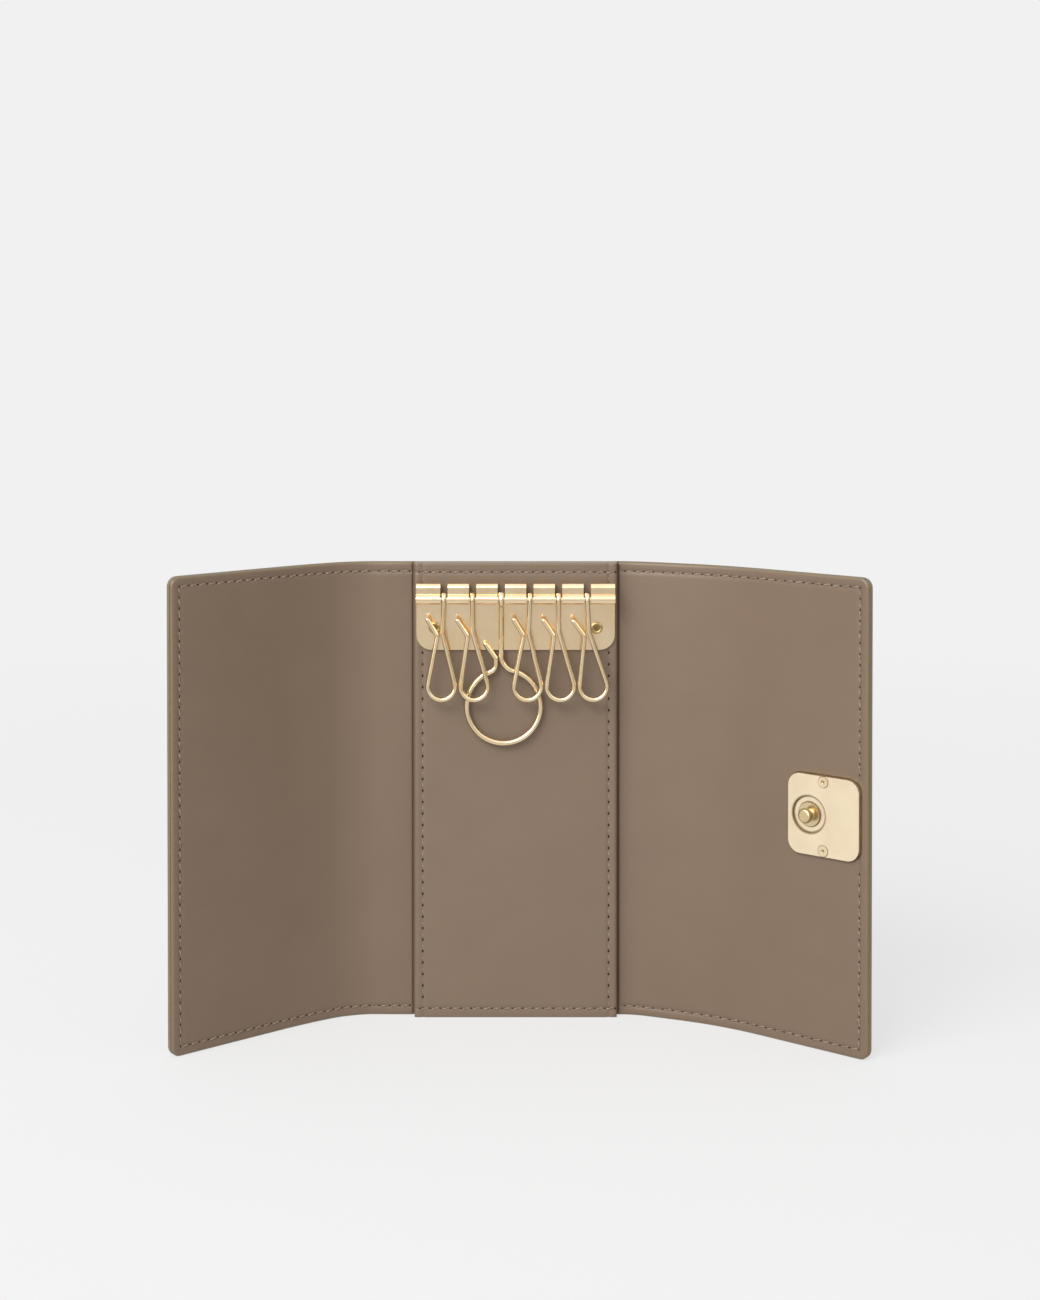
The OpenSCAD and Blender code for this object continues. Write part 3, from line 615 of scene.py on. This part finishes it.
class Sewing:
    """Collects the stitches and needle holes of one piece of leather."""

    def __init__(self, seed):
        self.thread = ([], [])
        self.holes = ([], [])
        self.random = random.Random(seed)

    def stitch(self, start, end, out, across):
        """One stitch between two needle holes: thread that rises a little, dives at both ends and leans."""
        around, along = 8, 9
        thread_r, lean = 0.23, 0.2
        arch, dive, flatness = 0.2, 0.1, 0.8
        vertices, faces = self.thread
        base = len(vertices)
        for k in range(along):
            t = k / (along - 1)
            w = 2 * t - 1
            radius = thread_r * max(1 - abs(w) ** 5, 0.02) ** 0.5
            rise = arch * (1 - w * w) - dive
            centre = [start[c] + (end[c] - start[c]) * t + (out[c] * rise + across[c] * lean * w) * MM
                      for c in range(3)]
            for m in range(around):
                turn = 2 * math.pi * m / around
                vertices.append([centre[c] + (out[c] * math.cos(turn) * flatness
                                              + across[c] * math.sin(turn)) * radius * MM
                                 for c in range(3)])
        for k in range(along - 1):
            for m in range(around):
                n = (m + 1) % around
                faces.append([base + k * around + m, base + k * around + n,
                              base + (k + 1) * around + n, base + (k + 1) * around + m])
        faces.append([base + m for m in range(around)])
        faces.append([base + (along - 1) * around + m for m in reversed(range(around))])

    def hole(self, centre, out, across, along, half_w, half_l):
        """A needle hole: a flat dark lens that lies in the stitch line's groove."""
        around = 12
        lens = 0.05
        vertices, faces = self.holes
        base = len(vertices)
        for level, share in ((-1, 0.0), (-0.6, 0.8), (0, 1.0), (0.6, 0.8), (1, 0.0)):
            ring = 1 if share == 0 else around
            for m in range(ring):
                turn = 2 * math.pi * m / around
                length, width = math.cos(turn) * half_l * share, math.sin(turn) * half_w * share
                vertices.append([centre[c] + (out[c] * level * lens + along[c] * length
                                              + across[c] * width) * MM for c in range(3)])
        rows = [[base]] + [[base + 1 + r * around + m for m in range(around)] for r in range(3)]
        top = base + 1 + 3 * around
        for m in range(around):
            n = (m + 1) % around
            faces.append([rows[0][0], rows[1][n], rows[1][m]])
            for r in (1, 2):
                faces.append([rows[r][m], rows[r][n], rows[r + 1][n], rows[r + 1][m]])
            faces.append([rows[3][m], rows[3][n], top])

    def run(self, places, point, hole_size=(0.22, 0.26), sunk=0.0):
        """Sews along places on the leather. point gives a place's point, its outward direction and the
        direction along the seam. sunk is how far a tight stitch pulls the thread into the leather."""
        end_gap, wander = 0.13, 0.3
        shown = [point(*place) for place in places]
        for (a, out, _), (b, _, _) in zip(shown, shown[1:]):
            length = math.dist(a, b)
            along = [(b[c] - a[c]) / length for c in range(3)]
            across = cross(out, along)
            gap = end_gap * (1 + wander * self.random.uniform(-1, 1))
            start = [a[c] + (b[c] - a[c]) * gap - out[c] * sunk * MM for c in range(3)]
            end = [a[c] + (b[c] - a[c]) * (1 - gap) - out[c] * sunk * MM for c in range(3)]
            self.stitch(start, end, out, across)
        for centre, out, along in shown:
            self.hole(centre, out, cross(out, along), along, *hole_size)

    def made(self, name, holes_name):
        """The sewn thread and the needle holes, as two objects."""
        pieces = []
        for piece_name, (vertices, faces), material in ((name, self.thread, THREAD),
                                                        (holes_name, self.holes, HOLE)):
            pieces.append(made_object(piece_name, new_mesh(piece_name, vertices, faces), material))
        return pieces


def cross(a, b):
    """The cross product of two directions."""
    return [a[1] * b[2] - a[2] * b[1], a[2] * b[0] - a[0] * b[2], a[0] * b[1] - a[1] * b[0]]


def unit(v):
    """The same direction with a length of 1."""
    length = math.sqrt(sum(c * c for c in v))
    return [c / length for c in v]


def skin_point(level, side, upright):
    """Point and directions on a face of the leather. side is -1 for the inside and 1 for the outside."""
    step = 0.2

    def point(s, z):
        here = on_leather(s, level, z)
        ahead = on_leather(s + step, level, z)
        along = unit([ahead[c] - here[c] for c in range(3)])
        out = [-side * along[1], side * along[0], 0.0]
        return here, out, ([0.0, 0.0, 1.0] if upright else along)

    return point


# Needle holes along the top and bottom lines lie at the same places on every piece.
TOP_HOLES = spaced(LEFT_END + STITCH_INSET, RIGHT_END - STITCH_INSET, STITCH_PITCH)
SIDE_HOLES = spaced(STITCH_INSET, CASE_H - STITCH_INSET, STITCH_PITCH)
PANEL_SIDE_HOLES = spaced(STITCH_INSET, CASE_H - STITCH_INSET, PANEL_PITCH)


def sew_piece(name, s_low, s_high, seed):
    """Stitches of one piece of the case, on both of its faces. None lie under the plate or the panel."""
    sewing = Sewing(seed)
    clear = PLATE_HALF + 0.5
    for side, level in ((-1, INSIDE + GROOVE_DEPTH), (1, OUTSIDE - GROOVE_DEPTH)):
        for z in (STITCH_INSET, CASE_H - STITCH_INSET):
            places = [s for s in TOP_HOLES if s_low - 1e-6 <= s <= s_high + 1e-6]
            if side < 0:
                places = [s for s in places if abs(s) > PANEL_HALF]
            if places:
                sewing.run([(s, z) for s in places], skin_point(level, side, False))
        for end in (LEFT_END + STITCH_INSET, RIGHT_END - STITCH_INSET):
            if s_low < end < s_high:
                spans = [SIDE_HOLES]
                if end > 0 and side < 0:
                    spans = [[z for z in SIDE_HOLES if z < SNAP_Z - clear],
                             [z for z in SIDE_HOLES if z > SNAP_Z + clear]]
                for span in spans:
                    sewing.run([(end, z) for z in span], skin_point(level, side, True))
    return sewing.made(name + "_thread", name + "_holes")


# Case.


def bend_with(piece, joint_name, near_body, far_body, near_dir, far_dir, half):
    """Bakes a piece's place into its mesh. It does not bend the piece: the bodies, their directions and
    half are not used.
    """
    x, y = fold_at(joint_name)
    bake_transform(piece)


def direction(side, degrees):
    """The way along the leather away from the spine, seen from above."""
    turn = math.radians(degrees)
    return side * math.cos(turn), -math.sin(turn)


def back_along(side, degrees):
    """The way along the leather back to the spine."""
    x, y = direction(side, degrees)
    return -x, -y


def cut_socket_hole(leather):
    """Cuts the round hole that the snap socket's barrel passes through."""
    around, spare, step = 48, 0.4, 0.5
    here, ahead = on_leather(SOCKET_S, 0.0, 0.0), on_leather(SOCKET_S + step, 0.0, 0.0)
    along = unit([ahead[c] - here[c] for c in range(3)])
    vertices = []
    for level in (SEAM - spare, OUTSIDE + spare):
        x, y, z = on_leather(SOCKET_S, level, SNAP_Z)
        for m in range(around):
            turn = 2 * math.pi * m / around
            reach, rise = SOCKET_HOLE_R * math.cos(turn) * MM, SOCKET_HOLE_R * math.sin(turn) * MM
            vertices.append((x + along[0] * reach, y + along[1] * reach, z + rise))
    faces = [[m, around + m, around + (m + 1) % around, (m + 1) % around] for m in range(around)]
    faces += [list(range(around)), list(reversed(range(around, 2 * around)))]
    mesh = new_mesh("punch", vertices, [], faces)
    punch = made_object("punch", mesh, OUTER_LEATHER)
    cut = leather.modifiers.new("socket_hole", "BOOLEAN")
    cut.operation = "DIFFERENCE"
    cut.solver = "EXACT"
    cut.object = punch
    whole = leather.data
    punched = leather.evaluated_get(bpy.context.evaluated_depsgraph_get())
    leather.data = bpy.data.meshes.new_from_object(punched)
    leather.modifiers.remove(cut)
    bpy.data.meshes.remove(whole)
    bpy.data.meshes.remove(mesh)


CASE_PIECES = [
    # name, span, fold, near and far body, their directions from the fold, half zone, replaced nodes, seed
    ("left_flap_leather", LEFT_END, LEFT_SPLIT, "left_outer_fold", "left_side", "left_flap",
     back_along(-1, LEFT_STRIP_DEG), direction(-1, LEFT_FLAP_DEG), 4.4, "left_flap", 11),
    ("left_side_leather", LEFT_SPLIT, 0.0, "left_inner_fold", "spine", "left_side",
     (1, 0), direction(-1, LEFT_STRIP_DEG), 4.4, "left_side", 12),
    ("right_side_leather", 0.0, RIGHT_SPLIT, "right_inner_fold", "spine", "right_side",
     (-1, 0), direction(1, RIGHT_STRIP_DEG), 3.8, "right_side", 13),
    ("right_flap_leather", RIGHT_SPLIT, RIGHT_END, "right_outer_fold", "right_side", "right_flap",
     back_along(1, RIGHT_STRIP_DEG), direction(1, RIGHT_FLAP_DEG), 5.5, "right_flap", 14),
]
for name, s_low, s_high, joint, near, far, near_dir, far_dir, half, node, seed in CASE_PIECES:
    ends = {"low_free": s_low == LEFT_END, "high_free": s_high == RIGHT_END}
    outer = leather_layer(name + "_outer", s_low, s_high, SEAM, OUTSIDE, OUTER_LEATHER,
                          high_round=0.7, groove_high=True, **ends)
    if name == "left_flap_leather":
        cut_socket_hole(outer)
    crease = {"left_side_leather": -1, "right_side_leather": 1}.get(name, 0)
    lining = leather_layer(name + "_lining", s_low, s_high, INSIDE, SEAM, LINING_LEATHER,
                           low_round=0.6, groove_low=True, crease=crease, **ends)
    thread, holes = sew_piece(name, s_low, s_high, seed)
    for piece, slot in ((outer, "outer_leather"), (lining, "lining_leather"),
                        (thread, "outer_leather"), (holes, "outer_leather")):
        bend_with(piece, joint, near, far, near_dir, far_dir, half)
    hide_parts(node + "_outer")
    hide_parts(node + "_lining")
    if name == "left_side_leather":
        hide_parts("spine_outer")
        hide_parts("spine_lining")


# Hook panel.


def panel_layer(name, low, high, material, round_low, round_high, groove):
    """One flat layer of the hook panel, its sides turned over and rounded, with a stitch line all round."""
    x_lines = grid_lines(-PANEL_HALF, PANEL_HALF, True, True, STRAIGHT_STEP)
    z_lines = grid_lines(0.0, CASE_H, True, True, STRAIGHT_STEP)
    vertices, insets, grooves = [], [], []
    index = {}
    turned = 0.3
    for side in (0, 1):
        for i, x in enumerate(x_lines):
            for j, z in enumerate(z_lines):
                inset_x = PANEL_HALF - abs(x)
                inset_z = min(z, CASE_H - z)
                press = 0.0
                if side == 0 and groove:
                    press = max(groove_share(inset_x - PANEL_SIDE_INSET),
                                groove_share(inset_z - STITCH_INSET))
                if side == 0:
                    # The upper and lower edges are cut, and rounded half as much as the turned sides.
                    drop = max(edge_round(inset_x, round_low), edge_round(inset_z, 0.5 * round_low))
                    y = low + drop + GROOVE_DEPTH * press
                else:
                    y = high - max(edge_round(inset_x, round_high), edge_round(inset_z, round_high))
                index[side, i, j] = len(vertices)
                vertices.append((x * MM, y * MM, z * MM))
                # The turned sides have no cut edge, so they count as past the painted line.
                insets.append(inset_z + turned if inset_x < inset_z else inset_z)
                grooves.append(press)
    last_i, last_j = len(x_lines) - 1, len(z_lines) - 1
    faces = sheet_faces(index, last_i, last_j)
    rim = sheet_rim(last_i, last_j)
    for (i, j), (k, m) in zip(rim, rim[1:] + rim[:1]):
        faces.append([index[0, k, m], index[0, i, j], index[1, i, j], index[1, k, m]])
    mesh = new_mesh(name, vertices, faces)
    add_point_values(mesh, "inset_mm", insets)
    add_point_values(mesh, "groove", grooves)
    return made_object(name, mesh, material)


def flat_point(y, upright):
    """Point and directions on the hook panel's flat front."""
    along = [0.0, 0.0, 1.0] if upright else [1.0, 0.0, 0.0]

    def point(x, z):
        return [x * MM, y * MM, z * MM], [0.0, -1.0, 0.0], along

    return point


cover = panel_layer("hook_panel_cover_leather", PANEL_FRONT, PANEL_JOINT, PANEL_LEATHER,
                    round_low=0.75, round_high=0.05, groove=True)
backing = panel_layer("hook_panel_backing_leather", PANEL_JOINT, PANEL_BACK, OUTER_LEATHER,
                      round_low=0.05, round_high=0.1, groove=False)
panel_sewing = Sewing(21)
face = PANEL_FRONT + GROOVE_DEPTH
for x in (-PANEL_HALF + PANEL_SIDE_INSET, PANEL_HALF - PANEL_SIDE_INSET):
    panel_sewing.run([(x, z) for z in PANEL_SIDE_HOLES], flat_point(face, True), (0.33, 0.36), sunk=0.22)
for z in (STITCH_INSET, CASE_H - STITCH_INSET):
    panel_sewing.run([(s, z) for s in TOP_HOLES if abs(s) < PANEL_HALF], flat_point(face, False))
panel_thread, panel_holes = panel_sewing.made("hook_panel_thread", "hook_panel_holes")
for piece, slot in ((cover, "lining_leather"), (backing, "outer_leather"),
                    (panel_thread, "outer_leather"), (panel_holes, "outer_leather")):
    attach(piece, "spine")
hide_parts("hook_panel_cover")
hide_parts("hook_panel_backing")


# Metal.


def shaded_plate_rim():
    """A dark closed bead of leather all round the stud plate: painted shade along the plate's edge."""
    half, corner, width, height = PLATE_HALF, 3.0, 0.2, 0.07
    outline = []
    for quarter in range(4):
        for k in range(9):
            turn = math.radians(90 * quarter + 90 * k / 8)
            side_s = 1 if quarter in (0, 3) else -1
            side_z = 1 if quarter < 2 else -1
            outline.append((side_s * (half - corner), side_z * (half - corner),
                            math.cos(turn), math.sin(turn)))
    around = 8
    vertices, faces = [], []
    for s, z, along_s, along_z in outline:
        for m in range(around):
            turn = 2 * math.pi * m / around
            reach = corner + 0.5 * width + width * math.cos(turn)
            vertices.append(on_leather(PLATE_CENTRE_S + s + along_s * reach,
                                       INSIDE - height * math.sin(turn), SNAP_Z + z + along_z * reach))
    count = len(outline)
    for i in range(count):
        for m in range(around):
            n, j = (m + 1) % around, (i + 1) % count
            faces.append([i * around + m, i * around + n, j * around + n, j * around + m])
    rim = made_object("plate_rim", new_mesh("plate_rim", vertices, faces), RIM_SHADE)
    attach(rim, "right_flap")


shaded_plate_rim()


def dress(node, material, bevel_mm=0.0):
    """Gives a node of the construction its finish and, on sharp sheet metal, a small broken edge."""
    piece = frame["nodes"][node]
    piece.data.materials.clear()
    piece.data.materials.append(material)
    if bevel_mm:
        bevel = piece.modifiers.new("broken_edge", "BEVEL")
        bevel.width = bevel_mm * MM
        bevel.segments = 3
        bevel.limit_method = "ANGLE"
        bevel.angle_limit = math.radians(50)
        bevel.harden_normals = True


RIVETS = [(x * MM, RIVET_Y * MM, RIVET_Z * MM) for x in (-RIVET_X, RIVET_X)]
PINS = [on_leather(PLATE_CENTRE_S, PLATE_FACE, SNAP_Z + z) for z in (-PIN_OFFSET, PIN_OFFSET)]
STUD = on_leather(STUD_S, PLATE_FACE, SNAP_Z)
STUD_HEAD = on_leather(STUD_S, STUD_HEAD_LEVEL, SNAP_Z)
# Painted shade, a darker colour with a duller gloss: a line round the plate's round recess, the stud's foot
# in it and the pins' heads, a line round the rim of the stud's head, and the middle of the pins' and the
# rivets' dimples.
RECESS_SHADE_LINE, FOOT_SHADE_LINE = (STUD, 4.2, 0.42), (STUD, 2.85, 0.26)
PLATE_GOLD = gold_plate("plate_gold", "#fae8c9", "#f7e3c2", 0.32,
                        [RECESS_SHADE_LINE, FOOT_SHADE_LINE] + [(pin, 1.25, 0.2) for pin in PINS])
STUD_GOLD = gold_plate("stud_gold", "#e6d2ab", "#dcc597", 0.27, [FOOT_SHADE_LINE, (STUD_HEAD, 1.75, 0.35)])
PIN_GOLD = gold_plate("pin_gold", "#f5e2bf", "#efdab3", 0.3, [(pin, 0.0, 0.6) for pin in PINS])
RIVET_GOLD = gold_plate("rivet_gold", "#c9b27f", "#bda572", 0.2, [(rivet, 0.3, 0.75) for rivet in RIVETS])

dress("key_frame", FRAME_GOLD, 0.12)
dress("hook_rod", HOOK_GOLD, 0.08)
dress("frame_rivets", RIVET_GOLD)
dress("frame_rivet_washers", FRAME_GOLD)
for node in ("key_hook_1", "key_hook_2", "ring_hook", "key_hook_3", "key_hook_4", "key_hook_5"):
    dress(node, HOOK_GOLD)
dress("stud_plate", PLATE_GOLD, 0.1)
dress("snap_stud", STUD_GOLD)
dress("stud_plate_rivets", PIN_GOLD)
dress("stud_washer", FRAME_GOLD)
dress("snap_socket", FRAME_GOLD, 0.1)
dress("socket_springs", HOOK_GOLD)
dress("socket_washer", FRAME_GOLD)
dress("left_flap_board", BOARD)
dress("right_flap_board", BOARD)


# Floor, light and camera.


def studio_white(name):
    """Matt white paper near the case, which takes its soft shadow, and an even pale ground further off."""
    material, tree = new_material(name)
    place = add(tree, "ShaderNodeNewGeometry").outputs["Position"]
    distance = add(tree, "ShaderNodeVectorMath", {0: place}, operation="LENGTH").outputs["Value"]
    paths = add(tree, "ShaderNodeLightPath")
    from_camera, from_gloss = paths.outputs["Is Camera Ray"], paths.outputs["Is Glossy Ray"]
    seen = add(tree, "ShaderNodeMath", {0: from_camera, 1: from_gloss}, operation="MAXIMUM")
    even = ramp(tree, distance, PAPER_NEAR, PAPER_FAR, NEAR_EVEN, 1.0)
    share = add(tree, "ShaderNodeMath", {0: even, 1: seen.outputs[0]}, operation="MULTIPLY")
    # In the metal the floor falls off towards the front, where the studio is dim.
    across = add(tree, "ShaderNodeVectorMath", {0: place}, operation="DOT_PRODUCT")
    across.inputs[1].default_value = FRONT_WAY
    falling = ramp(tree, across.outputs["Value"], 0.0, FRONT_REACH, 1.0, FRONT_FLOOR)
    level = add(tree, "ShaderNodeMath", {0: falling, 1: from_camera}, operation="MAXIMUM")
    paper = add(tree, "ShaderNodeBsdfPrincipled", Base_Color=srgb("#efefef"), Roughness=0.9,
                Specular_IOR_Level=0.1)
    ground = add(tree, "ShaderNodeEmission", {"Strength": level.outputs[0]}, Color=srgb("#f1f1f1"))
    mix = add(tree, "ShaderNodeMixShader", {0: share.outputs[0], 1: paper.outputs[0], 2: ground.outputs[0]})
    add(tree, "ShaderNodeOutputMaterial", {"Surface": mix.outputs[0]})
    return material


def make_floor():
    """A round floor, 4 m in radius."""
    rings, around = [0.2, 0.4, 0.8, 1.6, 4.0], 64
    vertices, faces = [(0.0, 0.0, 0.0)], []
    for radius in rings:
        for m in range(around):
            turn = 2 * math.pi * m / around
            vertices.append((radius * math.cos(turn), radius * math.sin(turn), 0.0))
    for m in range(around):
        n = (m + 1) % around
        faces.append([0, 1 + m, 1 + n])
        for r in range(len(rings) - 1):
            a, b = 1 + r * around, 1 + (r + 1) * around
            faces.append([a + m, b + m, b + n, a + n])
    floor = made_object("floor", new_mesh("floor", vertices, [], faces), studio_white("studio_paper"))


def make_world():
    """A pale studio, even where the camera looks. Its light comes from overhead, and the metal shows
    a white ceiling over dim walls, with a softbox to the left of the camera."""
    world = bpy.data.worlds.new("studio")
    bpy.context.scene.world = world
    world.use_nodes = True
    tree = world.node_tree
    tree.nodes.clear()
    towards = add(tree, "ShaderNodeTexCoord").outputs["Generated"]
    split = add(tree, "ShaderNodeSeparateXYZ", {"Vector": towards})
    paths = add(tree, "ShaderNodeLightPath")
    overhead = ramp(tree, split.outputs["Z"], 0.0, OVERHEAD_FULL, ROOM, ROOM + OVERHEAD)
    mirrored = ramp(tree, split.outputs["Z"], 0.0, CEILING_FULL, WALLS, CEILING)
    beside = add(tree, "ShaderNodeVectorMath", {0: towards}, operation="DOT_PRODUCT")
    beside.inputs[1].default_value = SOFTBOX_WAY
    softbox = ramp(tree, beside.outputs["Value"], SOFTBOX_RIM, SOFTBOX_FULL, 0.0, SOFTBOX)
    mirrored = add(tree, "ShaderNodeMath", {0: mirrored, 1: softbox}, operation="ADD").outputs[0]
    level = add(tree, "ShaderNodeMix",
                {"Factor": paths.outputs["Is Glossy Ray"], "A": overhead, "B": mirrored})
    light = add(tree, "ShaderNodeBackground", {"Strength": level.outputs[0]}, Color=(1.0, 1.0, 1.0, 1.0))
    ground = add(tree, "ShaderNodeBackground", Color=srgb("#f1f1f1"), Strength=1.0)
    mix = add(tree, "ShaderNodeMixShader",
              {0: paths.outputs["Is Camera Ray"], 1: light.outputs[0], 2: ground.outputs[0]})
    add(tree, "ShaderNodeOutputWorld", {"Surface": mix.outputs[0]})


def make_lamp(name, place, power):
    """A round lamp, aimed at the case's lower half."""
    target = (0.0, 0.0, 0.05)
    light = bpy.data.lights.new(name, "AREA")
    light.shape = "DISK"
    light.size = 0.65
    light.energy = power
    lamp = bpy.data.objects.new(name, light)
    bpy.context.scene.collection.objects.link(lamp)
    lamp.location = place
    aim = [target[c] - place[c] for c in range(3)]
    lamp.rotation_euler = Vector(aim).to_track_quat("-Z", "Y").to_euler()


def make_camera():
    """The photograph's view: from in front and above, level with a downward shift."""
    data = bpy.data.cameras.new("camera")
    camera = bpy.data.objects.new("camera", data)
    bpy.context.scene.collection.objects.link(camera)
    data.sensor_fit = "AUTO"
    data.sensor_width = 36.0
    data.lens = CAMERA_LENS
    data.shift_x, data.shift_y = 0.0, CAMERA_SHIFT
    data.clip_start, data.clip_end = 0.01, 20.0
    camera.location = [c * MM for c in CAMERA_PLACE]
    camera.rotation_euler = (math.radians(90 - CAMERA_DOWN), 0.0, 0.0)
    bpy.context.scene.camera = camera


# Lens in millimetres, vertical shift, degrees of downward tilt and place in millimetres.
CAMERA_LENS = 59.43
CAMERA_SHIFT = -0.23
CAMERA_DOWN = 1.01
CAMERA_PLACE = (1.03, -509.0, 166.96)

# The light that falls on the case: from all round, and more from overhead.
ROOM, OVERHEAD = 0.05, 0.67
# What gloss shows: walls, ceiling, and the floor in front of the case.
WALLS, CEILING, FRONT_FLOOR = 0.3, 1.3, 0.75
# The height of a direction, 0 level and 1 straight up, from which each of the two is full.
OVERHEAD_FULL, CEILING_FULL = 0.8, 0.25
# The way in which the floor falls off in the gloss, and how far.
FRONT_WAY, FRONT_REACH = (0.25, -0.9, 0.0), 0.6
# Share of the floor's even ground close to the case, and the distances between which it grows to the whole.
# The rest is paper that takes the shadow.
NEAR_EVEN = 0.72
PAPER_NEAR, PAPER_FAR = 0.08, 0.6
# The softbox: its level, its direction, and the cosines to it where it starts and where it is full.
SOFTBOX, SOFTBOX_WAY = 3.6, (-0.561, -0.801, 0.208)
SOFTBOX_RIM, SOFTBOX_FULL = 0.90, 0.985

make_floor()
make_world()
# Each lamp's place in metres and power in watts.
make_lamp("front_lamp", (-0.364, -1.0, 0.796), 7.1)
make_lamp("left_lamp", (-0.704, -0.704, 0.886), 5.5)
make_camera()
bpy.context.scene.view_settings.view_transform = "Standard"
